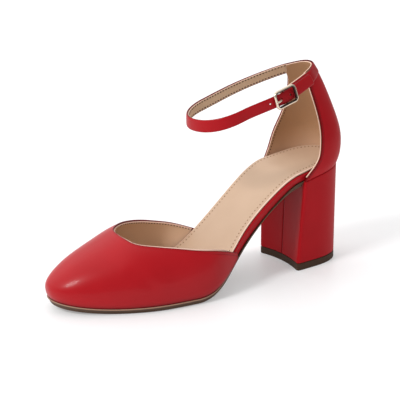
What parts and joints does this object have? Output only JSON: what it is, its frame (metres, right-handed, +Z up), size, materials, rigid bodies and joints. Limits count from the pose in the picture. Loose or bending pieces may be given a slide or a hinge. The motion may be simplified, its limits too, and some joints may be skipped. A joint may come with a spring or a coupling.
{
  "type": "block heel ankle strap sandal",
  "caption": "Closed-toe block heel sandal with hollow vamp and heel quarter, open waist, buckled ankle strap, leather sock and a leather-covered heel with a hollowed breast.",
  "frame": {"origin": "on the floor under the middle of the shoe's box", "axes": "+X from the toe to the back of the heel, -Y to the outer side of the left foot, +Z up"},
  "size_m": [0.2314, 0.0862, 0.1517],
  "materials": {
    "upper": "smooth red leather, satin",
    "strap": "smooth red leather, satin",
    "board_wrap": "red leather wrap, satin",
    "heel_cover": "red leather cover, satin",
    "lining": "beige leather, matt",
    "outsole": "brown resin sole, matt",
    "top_lift": "dark brown lift, matt",
    "buckle": "polished pale gold"
  },
  "bodies": {
    "root": {"outsole": "outsole", "insole_board": "board_wrap", "sock": "lining", "vamp": "upper", "quarter": "upper", "ankle_strap": "strap", "buckle_frame": "buckle", "buckle_prong": "buckle", "heel_block": "heel_cover", "top_lift": "top_lift"}
  },
  "joints": []
}
